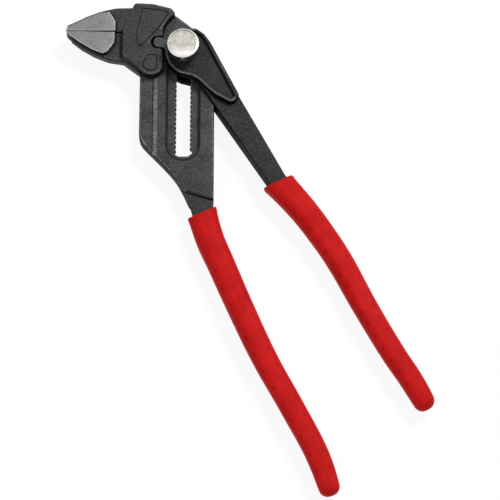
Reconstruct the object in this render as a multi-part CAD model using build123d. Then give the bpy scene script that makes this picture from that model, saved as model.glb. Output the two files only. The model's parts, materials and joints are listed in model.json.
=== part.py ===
from build123d import *
import math
import os

# Pliers wrench: a parallel-jaw pliers with smooth jaws, a rack of toothed positions and a push button.
# The tool lies flat on its back. The origin is on that plane, under the axis of the joint pin, with
# +Z up through the button and +Y along the rack, towards the fixed jaw. All lengths are in millimetres.

# Stack of the joint, from the back face up
joint_thickness = 15.0
cheek_thickness = 4.0
side_clearance = 0.1
rack_thickness = 2.6
cheek_bevel = 0.5
edge_bevel = 0.6
corner_ease = 0.2
cut_over = 2.0

# Rack in the slotted handle, and the toothed block that locks in it
tooth_pitch = 2.33
tooth_depth = 0.9
slot_clear_width = 6.3
tooth_clearance = 0.12
locked_steps = 18
rack_teeth = 23
block_teeth = 4
tooth_root_share = 0.32
tooth_flank_share = 0.20

# Slotted plate
plate_left = 20.0
plate_right = 14.1
plate_top = 22.6
plate_drop = 40.0
waist_fall = 34.7
slot_top = 7.2
slot_end_rise = 1.9
track_half_width = 7.45
track_top = 8.8
track_bottom = 52.3
guide_wall = 14.2
guide_width = 3.1
guide_depth = 0.9
guide_clearance = 0.12
step_left_fall = 27.9
step_right_fall = 32.1
tang_thickness = 4.6
tang_width = 9.2
tang_cover = 3.0

# Jaws
jaw_reach = 54.3
jaw_root = 28.2
jaw_face = 10.5
jaw_gap = 0.15
jaw_front_height = 4.7
jaw_back_height = 4.7
jaw_wall = 4.5
jaw_taper = 2.7
jaw_parting = 0.25
upper_jaw_height = 12.5
lower_jaw_depth = 15.2
land_height = 1.8

# Sliding jaw's cheeks
cheek_top = 24.1
cheek_bottom = 12.3
cheek_foot = 3.1
back_foot_lift = 2.0
back_tail_lift = 1.1
cheek_lean = 5.4
cheek_gap = 0.95
web_gap = 0.15
web_bottom = 10.4
relief_depth = 0.5
relief_width = 0.55
lip_radius = 1.9
lobe_radius = 4.9
nose_radius = 0.6
round_share = 0.99
neck_length = 3.4

# Lever and its knuckle
head_side = 8.5
head_radius = 12.0
rim_width = 1.35
panel_depth = 1.4
knuckle_arm = 12.04
knuckle_angle = 159.8
knuckle_radius = 2.75
knuckle_clearance = 0.15
lever_swing = 30.0
fork_clearance = 0.85
fork_web = 1.1
fork_shoulder = 4.0
fork_root_radius = 6.0
shank_thickness = 9.6
shank_heel = (5.6, -12.9)
shank_shoulder = (24.9, -20.6)
shank_mouth_width = 8.2

# Joint pin, button and spring
plug_radius = 6.2
running_clearance = 0.05
stem_radius = 3.0
block_top = 9.2
release_clearance = 0.2
seat_clearance = 0.05
spring_well_radius = 5.0
well_floor = 1.2
washer_thickness = 0.4
washer_bore_radius = 3.25
washer_rim_clearance = 0.2
button_radius = 7.4
button_height = 3.4
button_roof = 1.7
button_lift = 1.3
button_edge = 0.45
dish_depth = 0.25
dish_margin = 0.9
stem_seat = 1.0
seat_radial = 0.02
wire_radius = 0.375
coil_radius = 4.15
spring_half_turns = 9
wire_sides = 6
gap_samples = 240

# Dipped grips
grip_width = 13.4
grip_thickness = 12.4
grip_wall = 2.1
grip_end_cover = 7.0
left_mouth_side = 9.3
left_mouth_fall = 38.6
left_run = (56.6, -129.0)
right_mouth = (43.6, -63.6)
right_run = (64.9, -105.4)
left_mouth_tilt = 6.0
right_mouth_tilt = -11.0
grip_corner_share = 0.42
corner_facets = 3

# Route of each handle and the width of its grip, as shares of the run from the grip's mouth to its end
left_path_shares = [(0.0, 0.0), (0.066, 0.099), (0.151, 0.187), (0.320, 0.361), (0.499, 0.532),
                    (0.705, 0.700), (0.897, 0.867), (1.0, 1.0)]
right_path_shares = [(0.0, 0.0), (0.172, 0.125), (0.300, 0.236), (0.409, 0.343), (0.590, 0.558),
                     (0.780, 0.768), (0.886, 0.872), (1.0, 1.0)]
station_shares = [0.0, 0.03, 0.10, 0.25, 0.42, 0.60, 0.78, 0.92, 0.975]
width_shares = [1.0, 0.985, 0.95, 0.90, 0.86, 0.81, 0.78, 0.74, 0.68]
dome_shares = [(0.975, 0.68), (0.987, 0.61), (0.995, 0.49), (1.0, 0.30)]

# Corners of the outlines: across, along and radius, each as a share of the size that the outline follows
crown_shares = [(1.0, -0.31, 0.5), (0.80, 0.20, 0.8), (0.245, 0.60, 1.0), (-0.29, 0.875, 0.8),
                (-0.70, 0.975, 0.8)]
waist_shares = [(-0.915, 0.135), (-0.695, 0.274), (-0.355, 0.484), (-0.035, 0.749), (0.165, 1.0)]
upper_top_shares = [(0.97, 0.0, 0.0), (0.985, 0.21, 0.0), (0.66, 0.632, 0.5), (0.35, 0.88, 0.5),
                    (0.12, 0.99, 0.5)]
upper_land_shares = [(0.975, 0.194, 0.03), (0.64, 0.547, 0.6), (0.39, 0.77, 0.3), (0.25, 0.79, 0.04),
                     (0.132, 0.397, 0.06)]
lower_under_shares = [(0.96, 0.0, 0.0), (0.905, 0.235, 0.0), (0.725, 0.485, 0.5), (0.50, 0.72, 0.5),
                      (0.24, 0.905, 0.4)]
web_under_shares = [(-1.149, -0.185, 0.13), (-0.997, -0.308, 0.217)]
lower_land_shares = [(0.965, 0.10, 0.02), (0.766, 0.36, 0.5), (0.52, 0.625, 0.5), (0.34, 0.745, 0.06),
                     (0.265, 0.69, 0.05), (0.145, 0.38, 0.08)]
cheek_foot_shares = [(-1.045, -0.187, 0.2), (-0.871, -0.328, 0.3)]
cheek_inner_shares = [(-0.34, 0.598, 0.35), (-0.162, 0.784, 0.03), (-0.241, 0.888, 0.07),
                      (-0.60, 0.985, 0.6)]
wedge_shares = [(-0.805, 0.90, 0.03), (-0.40, 0.85, 0.08), (-0.275, 0.785, 0.03), (-0.50, 0.425, 0.3),
                (-0.845, 0.03, 0.05), (-0.925, 0.30, 0.25)]
bean_shares = [(-0.79, -0.27, 0.06), (-0.672, -0.08, 0.05), (-0.506, -0.08, 0.06),
               (-0.485, -0.357, 0.08), (-0.598, -0.456, 0.08), (-0.747, -0.38, 0.08)]
head_crown_shares = [(-0.408, 0.75, 0.3), (0.183, 0.942, 0.3), (0.467, 0.933, 0.25), (0.80, 0.692, 0.3),
                     (1.0, 0.35, 0.6)]
head_tail_shares = [(2.117, -1.908, 0.18), (1.883, -2.217, 0.2), (1.183, -1.825, 1.5)]
head_under_shares = [(0.45, -1.12, 0.6), (-0.217, -0.942, 0.6), (-0.55, -0.60, 0.5)]
head_side_shares = [(-0.217, 0.3), (0.383, 0.2)]

# Places worked out from the sizes above
mid = joint_thickness / 2
front = joint_thickness
cheek_inner = front - cheek_thickness
plate_thickness = joint_thickness - 2 * cheek_thickness - 2 * side_clearance
plate_front = mid + plate_thickness / 2
plate_back = mid - plate_thickness / 2
rack_front = mid + rack_thickness / 2
rack_back = mid - rack_thickness / 2
slot_crest = slot_clear_width / 2
slot_root = slot_crest + tooth_depth
jaw_front = mid + jaw_front_height
jaw_back = mid - jaw_back_height
jaw_span = jaw_reach - jaw_root
step_left = plate_drop + step_left_fall
step_right = plate_drop + step_right_fall
left_mouth = (left_mouth_side, -plate_drop - left_mouth_fall)
knuckle_x = knuckle_arm * math.cos(math.radians(knuckle_angle))
knuckle_y = knuckle_arm * math.sin(math.radians(knuckle_angle))
jaw_stroke = knuckle_y - knuckle_arm * math.sin(math.radians(knuckle_angle + lever_swing))
press_travel = block_top - rack_back + release_clearance
adjust_travel = locked_steps * tooth_pitch
button_bottom = front + press_travel + button_lift
button_top = button_bottom + button_height


def scaled(shares, across, along, rounding):
    return [(x * across, y * along, r * rounding) for x, y, r in shares]


def beyond_root(shares, start, height):
    """Corners of a jaw: shares run from the jaw's root towards its tip, and away from its face."""
    return [(-jaw_root - x * jaw_span, start + y * height, r * jaw_span) for x, y, r in shares]


def outline(corners):
    path = FilletPolyline([(x, y) for x, y, r in corners], radius=[r for x, y, r in corners], close=True)
    return make_face(path.edges())


def polygon(points):
    return make_face(Polyline(points, close=True).edges())


def slab(face, low, high):
    return extrude(Pos(0, 0, low) * face, amount=high - low, dir=(0, 0, 1))


def disc(radius, low, high, x=0, y=0):
    return Pos(x, y, low) * Cylinder(radius, high - low, align=(Align.CENTER, Align.CENTER, Align.MIN))


def block(x_low, x_high, y_low, y_high, low, high):
    return Pos(x_low, y_low, low) * Box(x_high - x_low, y_high - y_low, high - low, align=Align.MIN)


def bevelled(solid, size):
    return chamfer(solid.faces().sort_by(Axis.Z)[-1].outer_wire().edges(), size)


def jaw_body(corners, face_height):
    """A jaw's nose: bevelled in front, and tapered behind from a wall under its front edge."""
    nose = bevelled(slab(outline(corners), jaw_back, jaw_front), edge_bevel)
    back = nose.faces().sort_by(Axis.Z)[0]
    tapered = [edge for edge in back.edges()
               if abs(edge.center().Y - face_height) > corner_ease and edge.center().X < -jaw_root]
    depth = jaw_front - jaw_wall - jaw_back
    return chamfer(tapered, jaw_taper, depth, reference=back)


def with_back(solid):
    return solid + mirror(solid, about=Plane.XY.offset(mid))


def toothed_side(side, wall, tip, first, count):
    """Points up one side of a rack, from the height first: roots at wall and crests at tip."""
    root = tooth_pitch * tooth_root_share
    flank = tooth_pitch * tooth_flank_share
    points = []
    for tooth in range(count):
        low = first + tooth * tooth_pitch
        points += [(side * wall, low), (side * wall, low + root), (side * tip, low + root + flank),
                   (side * tip, low + tooth_pitch - flank)]
    return points + [(side * wall, first + count * tooth_pitch)]


def rack_outline(inset, first, count, low, high):
    """The slot with teeth down both sides, half a pitch apart, and drawn in by inset."""
    wall = slot_root - inset
    tip = slot_crest - inset
    left = toothed_side(-1, wall, tip, first, count)
    right = toothed_side(1, wall, tip, first + tooth_pitch / 2, count)
    return polygon(left + [(-wall, high), (wall, high)] + right[::-1] + [(wall, low)])


def handle_line(mouth, run, shares):
    return Spline([(mouth[0] + run[0] * x, mouth[1] + run[1] * y) for x, y in shares])


def beside(path, stations, side):
    """Points beside a path at its stations, which are pairs of a share and a half width."""
    points = []
    for share, half in stations:
        spot = path @ share
        along = path % share
        points.append((spot.X - side * half * along.Y, spot.Y + side * half * along.X))
    return points


def mouth_corners(path, width):
    """Where a handle enters its grip, and a little inside it: left, left foot, right foot, right."""
    heading = path % 0
    left = beside(path, [(0, width / 2)], -1)[0]
    right = beside(path, [(0, width / 2)], 1)[0]
    feet = [(x + tang_cover * heading.X, y + tang_cover * heading.Y) for x, y in (left, right)]
    return left, feet[0], feet[1], right


def tang_core(path, width):
    """The slimmer tang inside a grip."""
    last = 1 - grip_end_cover / path.length
    stations = [(share, (grip_width * wide - 2 * grip_wall) / 2)
                for share, wide in zip(station_shares, width_shares)][3:-2]
    stations = ([(0, width / 2 - 2 * edge_bevel)] + stations
                + [(last, (grip_width * width_shares[-1] - 2 * grip_wall) / 2)])
    left = beside(path, stations, -1)
    right = beside(path, stations, 1)
    ways = [tuple(path % 0)[:2], tuple(path % last)[:2]]
    sides = [Spline(left, tangents=ways), Line(left[-1], right[-1]), Spline(right, tangents=ways),
             Line(right[0], left[0])]
    return make_face([side.edge() for side in sides])


def grip_section(path, share, width_share, tilt):
    """A rounded rectangle across a handle's line, with a few flats for each round corner."""
    spot = path @ share
    along = (path % share).rotate(Axis.Z, tilt)
    plane = Plane(origin=(spot.X, spot.Y, mid), x_dir=(-along.Y, along.X, 0), z_dir=(along.X, along.Y, 0))
    thick = grip_thickness * width_share
    radius = grip_corner_share * thick
    points = []
    for corner in range(4):
        for step in range(corner_facets + 1):
            angle = math.radians(90 * (corner + step / corner_facets))
            side = 1 if corner in (0, 3) else -1
            level = 1 if corner in (0, 1) else -1
            points.append((side * (grip_width * width_share / 2 - radius) + radius * math.cos(angle),
                           level * (thick / 2 - radius) + radius * math.sin(angle)))
    return plane * polygon(points)


def grip_body(path, mouth_tilt):
    body = loft([grip_section(path, share, width, mouth_tilt if share == 0 else 0)
                 for share, width in zip(station_shares, width_shares)])
    dome = loft([grip_section(path, share, width, 0) for share, width in dome_shares], ruled=True)
    return body + dome


left_path = handle_line(left_mouth, left_run, left_path_shares)
right_path = handle_line(right_mouth, right_run, right_path_shares)


def above(left_drop, right_drop):
    """The area over a line across the handle, drawn down from the pin on its left and right."""
    return polygon([(-jaw_reach, jaw_reach), (-jaw_reach, -left_drop), (0, -left_drop),
                    (plate_right, -right_drop), (jaw_reach, -right_drop), (jaw_reach, jaw_reach)])


def slotted_handle():
    """One forging: fixed jaw, rack plate with its slot, guide grooves and tracks, and the tang."""
    left, left_foot, right_foot, right = mouth_corners(left_path, tang_width)
    waist = [(plate_left * x, -plate_drop - waist_fall * y) for x, y in waist_shares]
    sides = [Spline([(-plate_left, -plate_drop)] + waist + [left],
                    tangents=[(0, -1), tuple(left_path % 0)[:2]]),
             Line(left, left_foot), Line(left_foot, right_foot), Line(right_foot, right),
             Line(right, (plate_right, -step_right))]
    crown = scaled(crown_shares, plate_right, plate_top, plate_right)
    corners = ([(plate_right, -step_right, 0)] + crown
               + [(-jaw_root, crown[-1][1], 0), (-jaw_root, jaw_face, 0),
                  (-plate_left, jaw_face, corner_ease),
                  (-plate_left, -plate_drop, 0)])
    upper = FilletPolyline([(x, y) for x, y, r in corners], radius=[r for x, y, r in corners[1:-1]])
    face = make_face(list(upper.edges()) + [side.edge() for side in sides])
    plate = bevelled(slab(face & above(step_left, step_right), mid, plate_front), edge_bevel)
    tang = bevelled(slab(face, mid, mid + tang_thickness / 2), edge_bevel)

    lean = cheek_lean * upper_jaw_height / (cheek_top - jaw_face)
    jaw_corners = (beyond_root(upper_top_shares, jaw_face, upper_jaw_height)
                   + [(lean - jaw_root - jaw_parting, jaw_face + upper_jaw_height, 0),
                      (-jaw_root - jaw_parting, jaw_face, 0)])
    jaw = jaw_body(jaw_corners, jaw_face)
    land_corners = ([(-jaw_reach, jaw_face, 0)]
                    + beyond_root(upper_land_shares, jaw_face, upper_jaw_height)
                    + [(-jaw_root - upper_land_shares[-1][0] * jaw_span, jaw_face, 0)])
    land = bevelled(slab(outline(land_corners), mid, jaw_front + land_height), corner_ease)
    half = plate + tang + slab(tang_core(left_path, tang_width), mid, mid + tang_thickness / 2)

    groove = Plane.XZ * polygon([(-guide_wall, plate_front - guide_depth),
                                 (-guide_wall, plate_front + cut_over),
                                 (-guide_wall + guide_width, plate_front + cut_over),
                                 (-guide_wall + guide_width, plate_front)])
    groove_length = plate_top + plate_drop + waist_fall
    half -= Pos(0, plate_top + cut_over, 0) * extrude(groove, amount=groove_length, dir=(0, -1, 0))
    track = outline([(-track_half_width, track_top, track_half_width - corner_ease),
                     (track_half_width, track_top, track_half_width - corner_ease),
                     (track_half_width, -track_bottom, track_half_width - corner_ease),
                     (-track_half_width, -track_bottom, track_half_width - corner_ease)])
    half -= slab(track, rack_front, front)
    body = with_back(half) + jaw + land

    first = -block_teeth / 2 * tooth_pitch - (rack_teeth - block_teeth) * tooth_pitch
    slot = rack_outline(0, first, rack_teeth, first, slot_top)
    end_top = first + tooth_pitch * tooth_root_share / 2
    slot += outline([(-slot_root, end_top, 0), (slot_root, end_top, 0),
                     (slot_root, first - slot_end_rise, slot_end_rise),
                     (-slot_root, first - slot_end_rise, slot_end_rise)])
    return body - slab(slot, 0, front)


def jaw_cheek(foot_lift):
    """The front cheek of the sliding jaw, with its socket, before it gets its edges."""
    inner = -head_side - cheek_gap
    socket_radius = knuckle_radius + knuckle_clearance
    socket_end = -knuckle_arm - socket_radius
    low = knuckle_y - socket_radius
    high = knuckle_y + socket_radius
    foot = [(-jaw_root, -cheek_foot, lip_radius)] + scaled(cheek_foot_shares, cheek_top, cheek_top, cheek_top)
    corners = ([(x, y + foot_lift, r) for x, y, r in foot]
               + [(inner - 2 * lobe_radius + lip_radius, -cheek_bottom, lobe_radius),
                  (inner, -cheek_bottom, lobe_radius), (inner, low, lip_radius),
                  (socket_end, low, round_share * socket_radius),
                  (socket_end, high, round_share * socket_radius),
                  (inner - web_gap, high, nose_radius), (inner - web_gap, jaw_face, lip_radius)]
               + scaled(cheek_inner_shares, cheek_top, cheek_top, cheek_top)
               + [(cheek_lean - jaw_root, cheek_top, lip_radius), (-jaw_root, jaw_face, lip_radius)])
    return outline(corners)


def sliding_jaw():
    """One forging: lower jaw, web beside the plate, and two cheeks that straddle the plate."""
    sides = [cheek_side(jaw_cheek(0)), mirror(cheek_side(jaw_cheek(back_foot_lift)), about=Plane.XY.offset(mid))]
    face_y = jaw_face - jaw_gap
    web_x = -plate_left - web_gap
    jaw_corners = ([(web_x, -web_bottom, 0), (web_x, face_y, 0)]
                   + beyond_root(lower_under_shares, face_y, -lower_jaw_depth)
                   + scaled(web_under_shares, cheek_top, cheek_top, cheek_top))
    jaw = jaw_body(jaw_corners, face_y)
    land_corners = ([(-jaw_reach, face_y, 0)]
                    + beyond_root(lower_land_shares, face_y, -lower_jaw_depth)
                    + [(-jaw_root - lower_land_shares[-1][0] * jaw_span, face_y, 0)])
    land = bevelled(slab(outline(land_corners), mid, jaw_front + land_height), corner_ease)
    return jaw + land + sides[0] + sides[1]


def cheek_side(cheek_face):
    """A cheek of the sliding jaw with its two grooved outlines, and the rib that runs in the plate's groove."""
    cheek = bevelled(slab(cheek_face, cheek_inner, front), cheek_bevel)
    for shares in (wedge_shares, bean_shares):
        island = outline(scaled(shares, cheek_top, cheek_top, cheek_top))
        cheek -= slab(island - offset(island, amount=-relief_width), front - relief_depth, front + cut_over)
    rib_slope = guide_depth / guide_width
    rib_low = plate_front - guide_depth + guide_clearance + rib_slope * guide_clearance
    rib_reach = (cheek_inner - rib_low) / rib_slope
    rib = Plane.XZ * polygon([(-guide_wall + guide_clearance, rib_low),
                              (-guide_wall + guide_clearance, cheek_inner),
                              (-guide_wall + guide_clearance + rib_reach, cheek_inner)])
    rib_high = cheek_top - 2 * lip_radius
    rib = Pos(0, rib_high, 0) * extrude(rib, amount=rib_high + web_bottom, dir=(0, -1, 0))
    rib &= slab(cheek_face, mid, cheek_inner)
    return cheek + rib


def knuckle_corners():
    """The knuckle's round end and its neck, whose top keeps clear of the jaw when the lever is open."""
    reach = knuckle_radius * math.tan(math.radians(lever_swing / 2))
    slope = math.radians(lever_swing)
    top = knuckle_y + knuckle_radius
    return [(-head_side, knuckle_y - knuckle_radius, lip_radius),
            (knuckle_x - knuckle_radius, knuckle_y - knuckle_radius, round_share * knuckle_radius),
            (knuckle_x - knuckle_radius, top, round_share * knuckle_radius),
            (knuckle_x + reach, top, knuckle_radius * round_share),
            (knuckle_x + reach + neck_length * math.cos(slope), top - neck_length * math.sin(slope),
             corner_ease)]


def head_cheek(corners):
    return bevelled(slab(outline(corners), cheek_inner, front), cheek_bevel)


def lever_handle():
    """One forging: round head with two cheeks, knuckle, fork web, shank and tang."""
    crown = scaled(head_crown_shares + head_tail_shares, head_radius, head_radius, head_radius)
    under = scaled(head_under_shares, head_radius, head_radius, head_radius)
    side = [(-head_side, y * head_radius, r * head_radius) for y, r in head_side_shares]
    lifted = [(x, y + back_tail_lift, r) for x, y, r in under]
    cheeks = (head_cheek(side[:1] + knuckle_corners() + crown + under)
              + mirror(head_cheek(side[:1] + knuckle_corners() + crown + lifted), about=Plane.XY.offset(mid)))
    panel = offset(outline(side + crown + under), amount=-rim_width)
    cheeks -= slab(panel, front - panel_depth, front + cut_over)

    fork_x = plate_right + fork_clearance
    left, left_foot, right_foot, right = mouth_corners(right_path, shank_mouth_width)
    fork_root = left[1] + (shank_heel[1] - left[1]) * (fork_x - left[0]) / (shank_heel[0] - left[0])
    ends = [(x, y, 0) for x, y in (right, right_foot, left_foot, left)]
    web = outline(ends + [(fork_x, fork_root, fork_root_radius), (fork_x, -fork_shoulder, 0),
                          (fork_x + fork_web, -fork_shoulder, 0), (*shank_shoulder, fork_root_radius)])
    skin = outline(ends + [(*shank_heel, 0), (fork_x + fork_web, -fork_shoulder, 0),
                           (*shank_shoulder, fork_root_radius)])
    shank = (slab(web + tang_core(right_path, shank_mouth_width), mid, cheek_inner)
             + bevelled(slab(skin, cheek_inner, mid + shank_thickness / 2), edge_bevel))
    shank = with_back(shank)

    body = cheeks + shank
    body -= disc(plug_radius + running_clearance, -cut_over, plate_back)
    body -= disc(stem_radius + running_clearance, mid, front + cut_over)
    return body - disc(spring_well_radius, cheek_inner + well_floor, front + cut_over)


def toothed_pin():
    """Plug in the back cheek, toothed block in the rack, and a stem up to the button."""
    plug_top = rack_back - seat_clearance
    half = block_teeth * tooth_pitch / 2
    teeth = rack_outline(tooth_clearance, -half - tooth_pitch, block_teeth + 2, -half - tooth_pitch,
                         half + 2 * tooth_pitch)
    key = slab(teeth, plug_top, block_top) & block(-plug_radius, plug_radius, -half, half, 0, front)
    key &= disc(plug_radius, 0, front)
    plug = chamfer(disc(plug_radius, 0, plug_top).edges().sort_by(Axis.Z)[0], corner_ease)
    stem = disc(stem_radius, block_top, button_top - button_roof + stem_seat)
    return plug + key + stem


def push_button():
    """Domed-edge cap, hollow beneath for the spring, with a blind seat for the stem."""
    cap = disc(button_radius, button_bottom, button_top)
    cap = chamfer(cap.edges().filter_by(GeomType.CIRCLE).sort_by(Axis.Z)[-1], button_edge)
    cap -= disc(button_radius - dish_margin, button_top - dish_depth, button_top + cut_over)
    cap -= disc(spring_well_radius, button_bottom - cut_over, button_top - button_roof)
    return cap - disc(stem_radius + seat_radial, button_bottom, button_top - button_roof + stem_seat)


def spring_washer():
    low = cheek_inner + well_floor
    ring = disc(spring_well_radius - washer_rim_clearance, low, low + washer_thickness)
    return ring - disc(washer_bore_radius, low - cut_over, front)


def arc_pair(start, leaving, stop, arriving):
    """Two arcs that join smoothly: from start, where they head along leaving, to stop."""
    gap = stop - start
    heading = leaving + arriving
    spread = 2 * (1 - leaving.dot(arriving))
    reach = (math.sqrt(gap.dot(heading) ** 2 + spread * gap.dot(gap)) - gap.dot(heading)) / spread
    first = start + leaving * reach
    last = stop - arriving * reach
    joint = (first + last) / 2
    return [TangentArc(start, joint, tangent=leaving), TangentArc(joint, stop, tangent=last - first)]


def coil_point(angle, low, pitch):
    return Vector(coil_radius * math.cos(angle), coil_radius * math.sin(angle),
                  low + pitch * angle / math.tau)


def coil_heading(angle, pitch):
    return Vector(-coil_radius * math.sin(angle), coil_radius * math.cos(angle), pitch / math.tau).normalized()


def button_spring():
    """Round wire coiled between the washer and the roof of the button."""
    low = cheek_inner + well_floor + washer_thickness + wire_radius + seat_clearance
    high = button_top - button_roof - wire_radius - seat_clearance
    pitch = (high - low) * 2 / spring_half_turns
    arcs = []
    for half_turn in range(spring_half_turns):
        angle = math.pi * half_turn
        arcs += arc_pair(coil_point(angle, low, pitch), coil_heading(angle, pitch),
                         coil_point(angle + math.pi, low, pitch), coil_heading(angle + math.pi, pitch))
    line = Wire([arc.edge() for arc in arcs])
    spots = [line @ (step / gap_samples) for step in range(gap_samples + 1)]
    turn = round(gap_samples * 2 / spring_half_turns)
    apart = min((a - b).length for n, a in enumerate(spots) for b in spots[n + turn // 2:])
    print("spring gap between turns", round(apart - 2 * wire_radius, 2))
    wire = Plane(origin=line @ 0, z_dir=line % 0) * RegularPolygon(wire_radius, wire_sides)
    return sweep(wire, path=line)


def grip(path, mouth_tilt, handle):
    return grip_body(path, mouth_tilt) - handle


handle = slotted_handle()
lever = lever_handle()
nodes = {
    "slotted_handle": handle,
    "slotted_handle_grip": grip(left_path, left_mouth_tilt, handle),
    "sliding_jaw": sliding_jaw(),
    "lever_handle": lever,
    "lever_handle_grip": grip(right_path, right_mouth_tilt, lever),
    "toothed_pin": toothed_pin(),
    "push_button": push_button(),
    "spring_washer": spring_washer(),
    "button_spring": button_spring(),
}

os.makedirs("parts", exist_ok=True)
for name, solid in nodes.items():
    export_step(solid, f"parts/{name}.step")

print("adjusting travel", round(adjust_travel, 2), "press travel", round(press_travel, 2))
print("jaw stroke", round(jaw_stroke, 3), "per radian", round(jaw_stroke / math.radians(lever_swing), 3))
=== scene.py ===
import bmesh
import bpy
import json
import math
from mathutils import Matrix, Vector


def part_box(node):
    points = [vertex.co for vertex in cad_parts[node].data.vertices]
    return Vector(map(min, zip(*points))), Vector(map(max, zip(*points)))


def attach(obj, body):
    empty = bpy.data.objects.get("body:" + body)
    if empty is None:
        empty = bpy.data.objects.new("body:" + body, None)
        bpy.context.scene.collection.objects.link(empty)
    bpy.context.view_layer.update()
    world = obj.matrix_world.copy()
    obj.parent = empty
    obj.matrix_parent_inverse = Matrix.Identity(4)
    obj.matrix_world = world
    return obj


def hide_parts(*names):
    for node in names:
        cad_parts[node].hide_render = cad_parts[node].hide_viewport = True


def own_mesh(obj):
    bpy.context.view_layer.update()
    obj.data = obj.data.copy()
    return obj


# Pliers wrench with smooth parallel jaws. Sizes in the settings below are in millimetres, angles in degrees.
# A noise is given as its scale per millimetre, detail and roughness, a range as its start and its full end.
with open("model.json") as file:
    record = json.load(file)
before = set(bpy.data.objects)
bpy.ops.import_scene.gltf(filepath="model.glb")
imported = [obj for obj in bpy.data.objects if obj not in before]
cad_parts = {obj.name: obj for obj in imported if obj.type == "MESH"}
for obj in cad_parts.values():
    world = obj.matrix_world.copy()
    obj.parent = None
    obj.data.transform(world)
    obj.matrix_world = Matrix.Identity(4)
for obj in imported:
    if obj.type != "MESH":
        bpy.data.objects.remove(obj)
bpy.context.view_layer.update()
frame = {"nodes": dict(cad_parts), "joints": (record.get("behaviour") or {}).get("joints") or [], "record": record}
print("frame loaded")

mm = 0.001
samples = {"corners": 8, "edges": 4}  # rays that look for corners and edges, in the finishes


class Link:  # a socket that takes part in sums
    def __init__(self, tree, socket):
        self.tree = tree
        self.socket = socket

    def maths(self, operation, *values):
        return self.tree.add("ShaderNodeMath", {"operation": operation}, dict(enumerate(values)))

    def __add__(self, other):
        return self.maths("ADD", self, other)

    def __sub__(self, other):
        return self.maths("SUBTRACT", self, other)

    def __mul__(self, other):
        return self.maths("MULTIPLY", self, other)

    def __truediv__(self, other):
        return self.maths("DIVIDE", self, other)

    def __rsub__(self, other):
        return self.maths("SUBTRACT", other, self)

    __radd__ = __add__
    __rmul__ = __mul__

    def plain(self):  # without its sign
        return self.maths("ABSOLUTE", self)

    def least(self, low):  # never under low
        return self.maths("MAXIMUM", self, low)

    def most(self, high):  # never over high
        return self.maths("MINIMUM", self, high)

    def root(self):
        return self.maths("SQRT", self)

    def rest(self):  # what is left after whole numbers
        return self.maths("FRACT", self)

    def rise(self, low, high):  # from 0 at low to 1 at high, eased at both ends
        return self.tree.add("ShaderNodeMapRange", {"interpolation_type": "SMOOTHSTEP"},
                             {"Value": self, "From Min": low, "From Max": high})


class Tree:  # a node tree, whose nodes all come from add
    def __init__(self, nodeTree):
        self.nodes = nodeTree.nodes
        self.links = nodeTree.links

    def add(self, kind, settings=None, sockets=None, out=0):
        made = self.nodes.new(kind)
        for name, value in (settings or {}).items():
            if name == "stops":
                self.setStops(made, value)
            else:
                setattr(made, name, value)
        for name, value in (sockets or {}).items():
            if isinstance(value, Link):
                self.links.new(value.socket, made.inputs[name])
            else:
                made.inputs[name].default_value = value
        return Link(self, made.outputs[out]) if made.outputs else made

    def setStops(self, made, stops):  # places on a float curve
        points = made.mapping.curves[0].points
        while len(points) < len(stops):
            points.new(0, 0)
        for point, (along, height) in zip(points, stops):
            point.location = (along, height)
            point.handle_type = "AUTO_CLAMPED"
        made.mapping.update()

    def vector(self, operation, first, second=None, scale=None, out=0):
        sockets = {0: first}
        if second is not None:
            sockets[1] = second
        if scale is not None:
            sockets["Scale"] = scale
        return self.add("ShaderNodeVectorMath", {"operation": operation}, sockets, out)

    def blend(self, factor, low, high):  # two colours, on the node's own colour sockets
        return self.add("ShaderNodeMix", {"data_type": "RGBA"}, {0: factor, 6: low, 7: high}, out=2)

    def part(self, vector, axis):  # one coordinate of a vector
        return self.add("ShaderNodeSeparateXYZ", None, {0: vector}, out="XYZ".index(axis))

    def seen(self):  # 1 where the camera sees it, straight on, in a gloss or through something clear
        camera, gloss, through = (self.add("ShaderNodeLightPath", out=ray)
                                  for ray in ("Is Camera Ray", "Is Glossy Ray", "Is Transmission Ray"))
        return (camera + gloss + through).rise(0, 1)


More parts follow.
